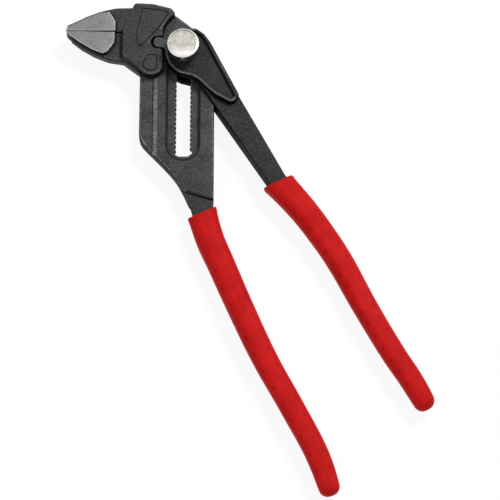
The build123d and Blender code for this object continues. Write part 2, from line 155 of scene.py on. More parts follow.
class Finish(Tree):  # a material
    def __init__(self, name, **constants):
        self.material = bpy.data.materials.new(name)
        self.material.use_nodes = True
        super().__init__(self.material.node_tree)
        self.shader = self.nodes["Principled BSDF"]
        for label, value in constants.items():
            self.shader.inputs[label].default_value = value
        place = self.add("ShaderNodeTexCoord", out="Object")
        self.place = self.vector("SCALE", place, scale=1 / mm)
        self.facing = self.add("ShaderNodeTexCoord", out="Normal")

    def at(self, axis):  # the place along one axis, in millimetres
        return self.part(self.place, axis)

    def marked(self, name):  # a mark that the mesh carries
        return self.add("ShaderNodeAttribute", {"attribute_name": name}, out="Fac")

    def noise(self, perMillimetre, detail, roughness=0.5, place=None):
        return self.add("ShaderNodeTexNoise", None, {"Vector": place or self.place, "Scale": perMillimetre,
                                                     "Detail": detail, "Roughness": roughness})

    def turned(self, angle, stretch):  # the place, turned about Z and stretched, for grinding lines
        return self.add("ShaderNodeMapping", None, {"Vector": self.place, "Scale": stretch,
                                                    "Rotation": (0, 0, math.radians(angle))})

    def fromAxis(self):  # how far from the Z axis
        return self.vector("LENGTH", self.vector("MULTIPLY", self.place, (1, 1, 0)), out="Value")

    def openness(self, reach):  # dark in corners narrower than reach
        return self.add("ShaderNodeAmbientOcclusion", {"samples": samples["corners"]},
                        {"Distance": reach * mm}, out="AO")

    def edges(self, reach, bend, flatness):  # 1 along the sharp edges of flat tops, out to reach
        bent = self.add("ShaderNodeBevel", {"samples": samples["edges"]}, {"Radius": reach * mm})
        flat = self.add("ShaderNodeNewGeometry", out="True Normal")
        found = (1 - self.vector("DOT_PRODUCT", bent, flat, out="Value")).rise(*bend)
        return found * self.part(bent, "Z").plain().rise(*flatness)

    def beside(self, points, away):  # 1 on a run of straight lines, seen along Z, and 0 away from it
        across, up = self.at("X"), self.at("Y")
        nearest = None
        for (ax, ay), (bx, by) in zip(points, points[1:]):
            length = math.hypot(bx - ax, by - ay)
            dx, dy = (bx - ax) / length, (by - ay) / length
            along = (across - ax) * dx + (up - ay) * dy
            aside = (across - ax) * dy - (up - ay) * dx
            beyond = (0 - along).least(0) + (along - length).least(0)
            off = (aside * aside + beyond * beyond).root()
            nearest = off.most(nearest) if nearest else off
        return 1 - nearest.rise(*away)

    def feed(self, label, value):
        self.links.new(value.socket, self.shader.inputs[label])

    def bump(self, height, depth, strength):
        self.feed("Normal", self.add("ShaderNodeBump", None, {"Height": height, "Distance": depth * mm,
                                                              "Strength": strength}))


def grey(level, warmth=0.0):
    return (level * (1 + warmth), level, level * (1 - warmth), 1)


forging = {"grain": (1.7, 4.0, 0.70), "clouds": (0.13, 2.0), "specks": (2.0, 2.0, 0.6), "rubs": (0.55, 3.0),
           "grainShare": 0.8, "cloudShare": 0.3, "toneRange": (0.40, 0.70), "tint": -0.03, "wornTint": -0.02,
           "speckRange": (0.55, 0.68), "speckStrength": 0.7, "bevelStrength": 0.8, "bevelShade": 0.5,
           "rubRange": (0.32, 0.60), "edgeShine": 1.8, "edgeReach": 0.32, "edgeBend": (0.006, 0.05),
           "edgeFlatness": (0.78, 0.90), "creviceReach": 1.1, "creviceRange": (0.35, 0.95),
           "hollowReach": 4.0, "hollowRange": (0.40, 0.90), "darkening": 0.0008, "roughness": 0.46,
           "grainRoughness": 0.16, "rubSmoothness": 0.10, "cloudHeight": 0.4, "bumpDepth": 0.06,
           "bumpStrength": 0.55}


# Black phosphated forging, its edges painted lighter as wear and painted highlight, its corners darkened as
# painted shade.
# A paint for wear and painted light changes its tone before the edges are painted, and a paint for darkening adds
# painted shade and dark lines after that.
def forgedBlack(name, look, wearAndPaintedLight=(), darkening=()):
    made = Finish(name, **{"Specular IOR Level": look["sheen"]})
    made.look = look
    made.grain = made.noise(*forging["grain"])
    cloud = made.noise(*forging["clouds"])
    specks = made.noise(*forging["specks"]).rise(*forging["speckRange"])
    bevel = made.marked("bevel")
    # The edges of flat tops are painted lighter: partly wear, partly painted highlight.
    made.rubbed = made.edges(forging["edgeReach"], forging["edgeBend"], forging["edgeFlatness"])
    made.rubbed = made.rubbed * made.noise(*forging["rubs"]).rise(*forging["rubRange"])
    mixed = made.grain * forging["grainShare"] + cloud * forging["cloudShare"]
    made.tone = made.blend(mixed.rise(*forging["toneRange"]), grey(look["dark"], forging["tint"]),
                           grey(look["light"], forging["tint"]))
    made.tone = made.blend(specks * forging["speckStrength"], made.tone,
                           grey(look["worn"], forging["wornTint"]))
    # Painted shade: bevel faces are darker.
    made.tone = made.blend(bevel * forging["bevelStrength"], made.tone,
                           grey(look["dark"] * forging["bevelShade"]))
    for paint in wearAndPaintedLight:
        paint(made)
    made.tone = made.blend(made.rubbed * look["wearAndPaintedLight"], made.tone,
                           grey(look["worn"] * forging["edgeShine"], forging["wornTint"]))
    # Painted shade: corners and hollows are darkened in the colour by ambient occlusion.
    made.shade = made.openness(forging["creviceReach"]).rise(*forging["creviceRange"])
    if look["hollows"]:
        closed = 1 - made.openness(forging["hollowReach"]).rise(*forging["hollowRange"])
        made.shade = made.shade * (1 - look["hollows"] * closed)
    for paint in darkening:
        paint(made)
    made.feed("Base Color", made.blend(made.shade, grey(forging["darkening"]), made.tone))
    made.feed("Roughness", forging["roughness"] + made.grain * forging["grainRoughness"]
              - made.rubbed * forging["rubSmoothness"])
    made.bump(made.grain + cloud * forging["cloudHeight"], forging["bumpDepth"], forging["bumpStrength"])
    return made.material


rimTop = {"height": (14.2, 14.9), "flatness": (0.80, 0.97), "level": 0.085, "tint": -0.02, "plain": 0.55,
          "grain": 0.5, "nearHead": (-58.0, -36.0), "slopeStrength": 0.9, "slopeShade": 0.3,
          "rubbedBelow": 0.25}


def wornRimAndShadedSlopes(made):  # the head's raised rim is worn lighter, and the slopes near the head are darker as painted shade
    flat = made.part(made.facing, "Z").plain().rise(*rimTop["flatness"])
    rim = made.at("Z").rise(*rimTop["height"])
    made.tone = made.blend(rim * flat * (rimTop["plain"] + made.grain * rimTop["grain"]), made.tone,
                           grey(rimTop["level"], rimTop["tint"]))
    nearHead = made.at("Y").rise(*rimTop["nearHead"])
    made.tone = made.blend(nearHead * (1 - flat) * rimTop["slopeStrength"], made.tone,
                           grey(made.look["dark"] * rimTop["slopeShade"]))
    made.rubbed = made.rubbed * (rimTop["rubbedBelow"] + rim * (1 - rimTop["rubbedBelow"]))


rimSide = {"start": (10.77, 2.23), "turn": (0.8823, 0.4708), "right": (1.15, 1.5), "top": (4.0, 7.0),
           "height": (13.0, 13.4), "rubbedLoss": 0.85, "toneStrength": 0.75, "shade": 0.7}


def shadedRimSide(made):  # painted shade: the outer part of the rim's straight side is darker, and its lighter edges are weaker there
    fromStart = made.vector("SUBTRACT", made.place, (*rimSide["start"], 0))
    right = made.vector("DOT_PRODUCT", fromStart, (*rimSide["turn"], 0), out="Value").rise(*rimSide["right"])
    shadedPart = right * ((1 - made.at("Y").rise(*rimSide["top"])) * made.at("Z").rise(*rimSide["height"]))
    made.rubbed = made.rubbed * (1 - shadedPart * rimSide["rubbedLoss"])
    made.tone = made.blend(shadedPart * rimSide["toneStrength"], made.tone,
                           grey(made.look["light"] * rimSide["shade"]))


rimFoot = {"line": [(5.87, 9.95), (9.03, 7.0), (11.41, 3.25), (13.83, -2.57), (24.17, -22.88)],
           "away": (0.50, 0.95), "height": (13.0, 13.4), "strength": 0.92}


def rimFootShade(made):  # painted shade along the foot of the rim's straight side
    above = made.at("Z").rise(*rimFoot["height"])
    near = made.beside(rimFoot["line"], rimFoot["away"])
    made.shade = made.shade * (1 - near * above * rimFoot["strength"])


shankSides = {"down": (-50.0, -30.0), "dark": 0.016, "light": 0.048, "grain": (0.3, 0.7)}


def shankSideShade(made):  # painted shade: the lever's sides are black under the head and greyer down the shank
    down = 1 - made.at("Y").rise(*shankSides["down"])
    steel = made.blend(made.grain.rise(*shankSides["grain"]), grey(shankSides["dark"]),
                       grey(shankSides["light"]))
    made.tone = made.blend(down, made.tone, steel)


padFoot = {"line": [(-34.73, 20.38), (-31.65, 15.46), (-31.65, 10.4), (-31.98, 4.57), (-35.12, -0.14),
                    (-37.07, -0.97), (-41.77, 0.85), (-48.19, 4.88), (-53.39, 8.83)],
           "away": (0.75, 1.35), "strength": 0.92}


def padFootShade(made):  # painted shade round the foot of the raised jaw pads
    made.shade = made.shade * (1 - made.beside(padFoot["line"], padFoot["away"]) * padFoot["strength"])


jawStep = {"middle": -29.1, "halfWidth": 1.0, "across": (0.2, 1.0), "bottom": (-3.6, -2.4),
           "top": (9.0, 10.2), "strength": 0.8}


def jawStepShade(made):  # painted shade where the cheek steps up from the jaw
    near = 1 - ((made.at("X") - jawStep["middle"]).plain() / jawStep["halfWidth"]).rise(*jawStep["across"])
    up = made.at("Y")
    near = near * up.rise(*jawStep["bottom"]) * (1 - up.rise(*jawStep["top"]))
    made.shade = made.shade * (1 - near * jawStep["strength"])


pocket = {"middle": -21.75, "straight": 23.1, "radius": 7.55, "endDrop": 0.05, "away": (0.26, 0.75)}


def pocketDarkLine(made):  # a dark line painted round the edge of the pocket round the slot
    beyond = ((made.at("Y") - pocket["middle"]).plain() - pocket["straight"]).least(0)
    across = made.at("X")
    off = ((across * across + beyond * beyond).root() - pocket["radius"] - beyond * pocket["endDrop"]).plain()
    made.shade = made.shade * off.rise(*pocket["away"])


plateStep = {"left": (2.6, -67.9), "slope": -0.32, "start": 1.0, "bottom": (-1.10, -0.85),
             "top": (0.30, 0.55), "strength": 0.9, "below": (-1.10, 0.30), "belowStrength": 0.42,
             "shade": 0.5, "low": (-64.0, -47.0), "lowStrength": 0.22}


def plateStepShadeAndTone(made):  # a dark line of painted shade at the step above the tang; the steel is painted darker under it and towards the lower end
    leftX, leftY = plateStep["left"]
    across = made.at("X")
    above = made.at("Y") - leftY - (across - leftX) * plateStep["slope"]
    line = above.rise(*plateStep["bottom"]) * (1 - above.rise(*plateStep["top"]))
    line = line * across.rise(leftX - plateStep["start"], leftX)
    made.shade = made.shade * (1 - line * plateStep["strength"])
    below = 1 - above.rise(*plateStep["below"])
    dull = grey(made.look["dark"] * plateStep["shade"])
    made.tone = made.blend(below * plateStep["belowStrength"], made.tone, dull)
    low = 1 - made.at("Y").rise(*plateStep["low"])
    made.tone = made.blend(low * plateStep["lowStrength"], made.tone, dull)


silverPads = {"angle": 35, "stretch": (0.25, 9, 9), "lines": (1.0, 3.0, 0.6), "clouds": (0.10, 2.0),
              "fine": (1.6, 3.0, 0.6), "lineShare": 0.4, "cloudShare": 0.2, "fineShare": 0.4,
              "toneRange": (0.30, 0.70), "dark": 0.115, "light": 0.245, "warmth": 0.01, "bevel": 0.60,
              "bevelStrength": 0.8, "awayY": (0.10, 0.30), "awayX": (0.0, 0.2), "shadedBevelTone": 0.004,
              "roughness": 0.40, "lineRoughness": 0.16, "bumpDepth": 0.01, "bumpStrength": 0.6}
padTopShade = {"line": [(-53.65, 12.93), (-44.90, 17.34), (-38.38, 20.13), (-34.73, 20.38)], "away": (0.30, 0.80),
          "strength": 0.8, "tone": 0.010}
parting = {"height": 10.10, "width": 0.52, "across": (0.45, 1.0), "toRoot": (-51.0, -34.0), "tone": 0.002}


def groundSteel(name):  # fine parallel grinding lines; bevels painted bright as highlights, and dark as painted shade where they face up and left
    look = silverPads
    made = Finish(name, Metallic=1.0)
    lines = made.noise(*look["lines"], made.turned(look["angle"], look["stretch"]))
    cloud = made.noise(*look["clouds"])
    fine = made.noise(*look["fine"])
    bevel = made.marked("bevel")
    mixed = lines * look["lineShare"] + cloud * look["cloudShare"] + fine * look["fineShare"]
    tone = made.blend(mixed.rise(*look["toneRange"]), grey(look["dark"]), grey(look["light"], look["warmth"]))
    # Painted highlight: the pads' bevels are bright.
    tone = made.blend(bevel * look["bevelStrength"], tone, grey(look["bevel"]))
    facingUp = made.part(made.facing, "Y").rise(*look["awayY"])
    shadedPart = facingUp * (1 - made.part(made.facing, "X").rise(*look["awayX"]))
    tone = made.blend(bevel * shadedPart, tone, grey(look["shadedBevelTone"]))  # painted shade on bevels that face up and left
    # Painted shade along the upper pad's top edge.
    top = made.beside(padTopShade["line"], padTopShade["away"])
    tone = made.blend(top * padTopShade["strength"], tone, grey(padTopShade["tone"]))
    toRoot = made.at("X").rise(*parting["toRoot"])  # painted shade between the jaws, less at the tip
    off = (made.at("Y") - parting["height"]).plain() / parting["width"]
    tone = made.blend((1 - off.rise(*parting["across"])) * toRoot, tone, grey(parting["tone"]))
    made.feed("Base Color", tone)
    made.feed("Roughness", look["roughness"] + lines * look["lineRoughness"])
    made.bump(lines, look["bumpDepth"], look["bumpStrength"])
    return made.material


groove = {"sheen": 0.35, "grain": (1.5, 4.0, 0.7), "strokes": (0.8, 2.0, 0.5), "stretch": (0.5, 2.2, 1),
          "grainShare": 0.6, "strokeShare": 0.5, "toneRange": (0.36, 0.72), "litBand": (-14.2, -13.6),
          "fading": (-12.3, -11.2), "dark": 0.030, "darkTint": -0.02, "light": 0.24, "lightTint": -0.03,
          "creviceReach": 1.1, "creviceRange": (0.35, 0.90), "darkening": 0.001, "roughness": 0.42,
          "grainRoughness": 0.2, "bumpDepth": 0.03, "bumpStrength": 0.5}


def rubbedSteel(name):  # the guide groove's sloped face, painted lighter in a band as a painted highlight
    look = groove
    made = Finish(name, **{"Specular IOR Level": look["sheen"]})
    grain = made.noise(*look["grain"])
    strokes = made.noise(*look["strokes"], made.turned(0, look["stretch"]))
    across = made.at("X")
    band = across.rise(*look["litBand"]) * (1 - across.rise(*look["fading"]))
    mixed = grain * look["grainShare"] + strokes * look["strokeShare"]
    tone = made.blend(mixed.rise(*look["toneRange"]) * band, grey(look["dark"], look["darkTint"]),
                      grey(look["light"], look["lightTint"]))
    # Painted shade: corners darkened in the colour by ambient occlusion.
    shade = made.openness(look["creviceReach"]).rise(*look["creviceRange"])
    made.feed("Base Color", made.blend(shade, grey(look["darkening"]), tone))
    made.feed("Roughness", look["roughness"] + grain * look["grainRoughness"])
    made.bump(grain, look["bumpDepth"], look["bumpStrength"])
    return made.material


cap = {"blotch": (0.5, 3.0, 0.6), "fine": (2.2, 3.0, 0.6), "blotchShare": 0.45, "fineShare": 0.55,
       "toneRange": (0.36, 0.64), "dark": (0.345, 0.325, 0.285, 1), "light": (0.50, 0.485, 0.445, 1),
       "ring": 6.45, "ringWidth": 0.22, "ringAcross": (0.4, 1.0), "ringShadeTone": (0.16, 0.15, 0.13, 1),
       "ringStrength": 0.55, "ringDepth": 0.8, "rim": 6.7, "rimHighlightTone": (0.66, 0.65, 0.62, 1),
       "rimHighlightStrength": 0.7, "litSide": (-5.5, -0.5), "highlightTone": (0.80, 0.79, 0.76, 1),
       "highlightStrength": 0.62, "shadedSkirt": (0.15, 0.5), "skirtShadeTone": 0.06, "skirtStrength": 0.75,
       "roughness": 0.24, "blotchRoughness": 0.16, "bumpDepth": 0.04, "bumpStrength": 0.7}


def nickelPlate(name):  # fine satin grain, a dark line of painted shade at the dish's edge, inside a rim painted bright as a highlight
    made = Finish(name, Metallic=1.0)
    blotch = made.noise(*cap["blotch"])
    fine = made.noise(*cap["fine"])
    mixed = blotch * cap["blotchShare"] + fine * cap["fineShare"]
    tone = made.blend(mixed.rise(*cap["toneRange"]), cap["dark"], cap["light"])
    away = made.fromAxis()
    ring = 1 - ((away - cap["ring"]).plain() / cap["ringWidth"]).rise(*cap["ringAcross"])
    litLowerSide = 1 - made.at("Y").rise(*cap["litSide"])  # painted highlight: the cap is brighter on this side
    tone = made.blend(litLowerSide * cap["highlightStrength"], tone, cap["highlightTone"])
    # Painted highlight on the rim.
    tone = made.blend(away.rise(cap["ring"], cap["rim"]) * cap["rimHighlightStrength"], tone, cap["rimHighlightTone"])
    # Painted shade on the cap's side.
    shadedSkirt = 1 - made.part(made.facing, "Z").rise(*cap["shadedSkirt"])
    tone = made.blend(shadedSkirt * cap["skirtStrength"], tone, grey(cap["skirtShadeTone"]))
    made.feed("Base Color", made.blend(ring * cap["ringStrength"], tone, cap["ringShadeTone"]))
    made.feed("Roughness", cap["roughness"] + blotch * cap["blotchRoughness"])
    made.bump(fine - ring * cap["ringDepth"], cap["bumpDepth"], cap["bumpStrength"])
    return made.material


turning = {"detail": 2.0, "clouds": (0.4, 2.0), "share": 0.5, "shade": 0.6, "warmth": 0.02, "roughness": 0.28,
           "ringRoughness": 0.2, "bumpDepth": 0.01, "bumpStrength": 0.5}
turnedParts = {"pin": {"tone": 0.42, "marks": 3.0}, "washer": {"tone": 0.55, "marks": 4.0},
               "wire": {"tone": 0.50, "marks": 2.0}}


def turnedSteel(name, look):  # plain machined steel, with fine turning marks round Z
    made = Finish(name, Metallic=1.0)
    away = made.fromAxis()
    rings = made.add("ShaderNodeTexNoise", {"noise_dimensions": "1D"},
                     {"W": away * look["marks"], "Detail": turning["detail"]})
    cloud = made.noise(*turning["clouds"])
    made.feed("Base Color", made.blend(rings * turning["share"] + cloud * turning["share"],
                                       grey(look["tone"] * turning["shade"], turning["warmth"]),
                                       grey(look["tone"], turning["warmth"])))
    made.feed("Roughness", turning["roughness"] + rings * turning["ringRoughness"])
    made.bump(rings, turning["bumpDepth"], turning["bumpStrength"])
    return made.material


dip = {"sheen": 0.10, "clouds": (0.09, 2.0), "fine": (0.9, 3.0, 0.55), "pores": (2.6, 1.0),
       "poreRange": (0.30, 0.44), "cloudRange": (0.3, 0.7), "cloudShare": 0.55, "fineShare": 0.45,
       "dark": (0.49, 0.0040, 0.0038, 1), "light": (0.66, 0.0105, 0.0100, 1),
       "mark": (0.36, 0.0020, 0.0020, 1), "markStrength": 0.8, "roughness": 0.52, "fineRoughness": 0.14,
       "fineHeight": 0.7, "poreHeight": 0.2, "bumpDepth": 0.08, "bumpStrength": 0.6}


def dippedRed(name):  # satin plastic, with small darker marks
    made = Finish(name, **{"Specular IOR Level": dip["sheen"]})
    mark = made.marked("mark")
    cloud = made.noise(*dip["clouds"])
    fine = made.noise(*dip["fine"])
    pores = made.noise(*dip["pores"]).rise(*dip["poreRange"])
    mixed = cloud.rise(*dip["cloudRange"]) * dip["cloudShare"] + fine * dip["fineShare"]
    tone = made.blend(mixed, dip["dark"], dip["light"])
    made.feed("Base Color", made.blend(mark * dip["markStrength"], tone, dip["mark"]))
    made.feed("Roughness", dip["roughness"] + fine * dip["fineRoughness"])
    made.bump(fine * dip["fineHeight"] + cloud + pores * dip["poreHeight"], dip["bumpDepth"],
              dip["bumpStrength"])
    return made.material


# The two side looks are near-black copies of the black, painted shade on the sides.
blacks = {"plate": {"dark": 0.011, "light": 0.070, "worn": 0.20, "wearAndPaintedLight": 0.80, "sheen": 0.20, "hollows": 0.0},
          "jaw": {"dark": 0.011, "light": 0.058, "worn": 0.15, "wearAndPaintedLight": 0.45, "sheen": 0.20, "hollows": 0.75},
          "lever": {"dark": 0.005, "light": 0.030, "worn": 0.11, "wearAndPaintedLight": 1.0, "sheen": 0.16, "hollows": 0.85},
          "sides": {"dark": 0.001, "light": 0.006, "worn": 0.030, "wearAndPaintedLight": 0.0, "sheen": 0.10, "hollows": 0.0},
          "shadedLeverSides": {"dark": 0.0004, "light": 0.002, "worn": 0.004, "wearAndPaintedLight": 0.0, "sheen": 0.01,
                         "hollows": 0.0}}

plateBlack = forgedBlack("phosphatedPlate", blacks["plate"], darkening=[padFootShade, pocketDarkLine, plateStepShadeAndTone])
jawBlack = forgedBlack("phosphatedJaw", blacks["jaw"], darkening=[padFootShade, jawStepShade])
leverBlack = forgedBlack("phosphatedLever", blacks["lever"], wearAndPaintedLight=[wornRimAndShadedSlopes, shadedRimSide], darkening=[rimFootShade])
shadedWallBlack = forgedBlack("phosphatedSidesShaded", blacks["sides"])
shadedLeverSides = forgedBlack("phosphatedLeverSidesShaded", blacks["shadedLeverSides"], wearAndPaintedLight=[shankSideShade])
silver = groundSteel("groundSilver")
rubbedGroove = rubbedSteel("rubbedGroove")
print("finishes made")


slotEnd = {"start": -48.93, "depth": 1.9, "last": 1.01, "halfWidth": 4.06, "narrowing": 0.26, "lift": 0.55}


def roundSlotEnd(place):  # the slot's lower end is rounder than its cut
    past = (slotEnd["start"] - place.y) / slotEnd["depth"]
    if 0 < past < slotEnd["last"] and abs(place.x) < slotEnd["halfWidth"]:
        place.x *= 1 - slotEnd["narrowing"] * math.sqrt(past)
        place.y += slotEnd["lift"] * past


proudRim = {"out": 0.5, "inside": 0.9, "foot": 12.6, "low": -25.0, "high": 7.6, "fade": 5.9}


def standProud(place):  # the straight side of the head's rim stands a little further out than its cut
    (startX, startY), (turnX, turnY) = rimSide["start"], rimSide["turn"]
    right = (place.x - startX) * turnX + (place.y - startY) * turnY
    onSide = right > proudRim["inside"] and proudRim["low"] < place.y < proudRim["high"]
    if onSide and place.z > proudRim["foot"]:
        out = proudRim["out"] * min(1, (proudRim["high"] - place.y) / proudRim["fade"])
        place.x += turnX * out
        place.y += turnY * out


jaws = {"root": -28.2, "landRoot": -30.5, "landEdge": 13.8, "landFlatness": 0.5, "backTop": 2.85,
        "faceLow": 10.25, "faceHigh": 10.6, "square": 0.9}
grooveFace = {"left": -14.3, "right": -11.0, "flattest": 0.985, "steepest": 0.9}
sides = {"steepest": 0.4, "landFoot": 12.3, "jawEnd": -19.5, "headInside": 9.0, "headEnd": -16.0}


def isSide(normal):
    return abs(normal.z) < sides["steepest"]


def isGround(centre, normal, up):  # the lands, the flats behind them and the gripping faces are ground bright
    onLand = centre.z > jaws["landEdge"] and normal.z > jaws["landFlatness"]
    onBack = centre.z < jaws["backTop"] and normal.z < -jaws["square"]
    gripping = up * normal.y > jaws["square"] and jaws["faceLow"] < centre.y < jaws["faceHigh"]
    return centre.x < jaws["landRoot"] and (onLand or onBack) or centre.x < jaws["root"] and gripping


def slottedFinish(centre, normal):
    if isGround(centre, normal, -1):
        return silver
    inGroove = grooveFace["left"] < centre.x < grooveFace["right"]
    if inGroove and grooveFace["steepest"] < abs(normal.z) < grooveFace["flattest"]:
        return rubbedGroove
    if centre.x < jaws["root"] and not (isSide(normal) and centre.z > sides["landFoot"]):
        return jawBlack
    return shadedWallBlack if isSide(normal) else plateBlack


def jawFinish(centre, normal):
    if isGround(centre, normal, 1):
        return silver
    ofLand = centre.x < jaws["root"] and centre.z > sides["landFoot"]
    return shadedWallBlack if isSide(normal) and (ofLand or centre.x > sides["jawEnd"]) else jawBlack


def leverFinish(centre, normal):  # painted shade: the back cheek's inside and the lever's sides get the near-black copy of the black
    inside = centre.z < sides["headInside"] and normal.z > 0 and centre.y > sides["headEnd"]
    return shadedLeverSides if isSide(normal) or inside else leverBlack


softness = {"weld": 0.002, "sharpAngle": 50, "wireSharpAngle": 60, "weight": 60}
bevelFaces = {"height": 1.25, "steepest": 0.35, "flattest": 0.92}


def dress(node, finishes, choose=None, reshape=None, sharpAngle=softness["sharpAngle"]):
    mesh = frame["nodes"][node].data.copy()  # a softly shaded copy of the solid, finished by face
    mesh.name = node + "Mesh"
    mesh.materials.clear()
    for finish in finishes:
        mesh.materials.append(finish)
    form = bmesh.new()
    form.from_mesh(mesh)
    bmesh.ops.remove_doubles(form, verts=form.verts, dist=softness["weld"] * mm)
    if reshape:
        for point in form.verts:
            place = point.co / mm
            reshape(place)
            point.co = place * mm
        form.normal_update()
    for edge in form.edges:
        edge.smooth = len(edge.link_faces) == 2 and edge.calc_face_angle(0) < math.radians(sharpAngle)
    bevel = form.faces.layers.float.new("bevel")
    for face in form.faces:
        heights = [corner.co.z for corner in face.verts]
        narrow = max(heights) - min(heights) < bevelFaces["height"] * mm
        tilted = bevelFaces["steepest"] < abs(face.normal.z) < bevelFaces["flattest"]
        face[bevel] = 1.0 if narrow and tilted else 0.0
        face.smooth = True
        if choose:
            face.material_index = finishes.index(choose(face.calc_center_median() / mm, face.normal))
    form.to_mesh(mesh)
    form.free()
    piece = bpy.data.objects.new(node + "Dressed", mesh)
    bpy.context.collection.objects.link(piece)
    weighted = piece.modifiers.new("weighted", "WEIGHTED_NORMAL")
    weighted.keep_sharp = True
    weighted.weight = softness["weight"]
    finished = bpy.data.meshes.new_from_object(piece.evaluated_get(bpy.context.evaluated_depsgraph_get()))
    piece.modifiers.clear()
    piece.data = finished
    for body, members in frame["record"]["behaviour"]["bodies"].items():
        if node in members:
            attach(piece, body)
    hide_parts(node)
    print(node, "dressed")
    return piece


dress("slotted_handle", [plateBlack, silver, rubbedGroove, jawBlack, shadedWallBlack],
      slottedFinish, roundSlotEnd)
dress("sliding_jaw", [jawBlack, silver, shadedWallBlack], jawFinish)
dress("lever_handle", [leverBlack, shadedLeverSides], leverFinish, standProud)
dress("push_button", [nickelPlate("satinNickel")])
dress("toothed_pin", [turnedSteel("pinSteel", turnedParts["pin"])])
dress("spring_washer", [turnedSteel("washerSteel", turnedParts["washer"])])
spring = dress("button_spring", [turnedSteel("springWire", turnedParts["wire"])],
               sharpAngle=softness["wireSharpAngle"])
springFoot, springTop = (corner.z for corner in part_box("button_spring"))
press = next(joint for joint in frame["joints"] if joint["name"] == "button_press")["range_m"][1]
1 - press / (springTop - springFoot)
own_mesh(spring)


# The grips' sizes and ratios are the inputs of their node tree, under the same names.
gripSizes = {"Width": 13.4, "Thickness": 12.4, "Corner": 5.1, "Ring spacing": 0.45, "End round": 3.9,
             "Lip round": 0.5, "Flare length": 5.0, "Tilt length": 16.0, "Mouth length": 18.0,
             "Mark length": 2.0, "Mark width": 0.62, "Mark depth": 0.16, "Mark start": 9.0, "Mark end": 10.0}
gripRatios = {"End flat": 0.12, "Lip drop": 0.07, "Flare": 0.035, "Mouth set-back": 0.28, "Mark row": 0.60,
              "Row middle": -0.10}
gripForm = {"middle": 7.5, "around": 112, "cornerSteps": 12, "lineSteps": 24, "weld": 0.01, "step": 0.1,
            "markEdge": (0.35, 0.65), "flatSide": (0.45, 0.6)}
widthStops = [(0, 1), (0.03, 0.985), (0.10, 0.95), (0.25, 0.90), (0.42, 0.86), (0.60, 0.81), (0.78, 0.78),
              (0.92, 0.74), (1, 0.66)]
leftGrip = {"body": "slotted_side", "mouth": (8.8, -76.9), "run": (57.1, -130.7), "tilt": -9.0,
            "mouthFlat": 0.22, "markSpacing": 8.5,
            "shares": [(0, 0), (0.066, 0.099), (0.151, 0.187), (0.320, 0.361), (0.499, 0.532),
                       (0.705, 0.700), (0.897, 0.867), (1, 1)]}
rightGrip = {"body": "lever_side", "mouth": (42.9, -62.2), "run": (65.6, -106.8), "tilt": 14.0,
             "mouthFlat": 0.04, "markSpacing": 6.4,
             "shares": [(0, 0), (0.172, 0.125), (0.300, 0.236), (0.409, 0.343), (0.590, 0.558),
                        (0.780, 0.768), (0.886, 0.872), (1, 1)]}


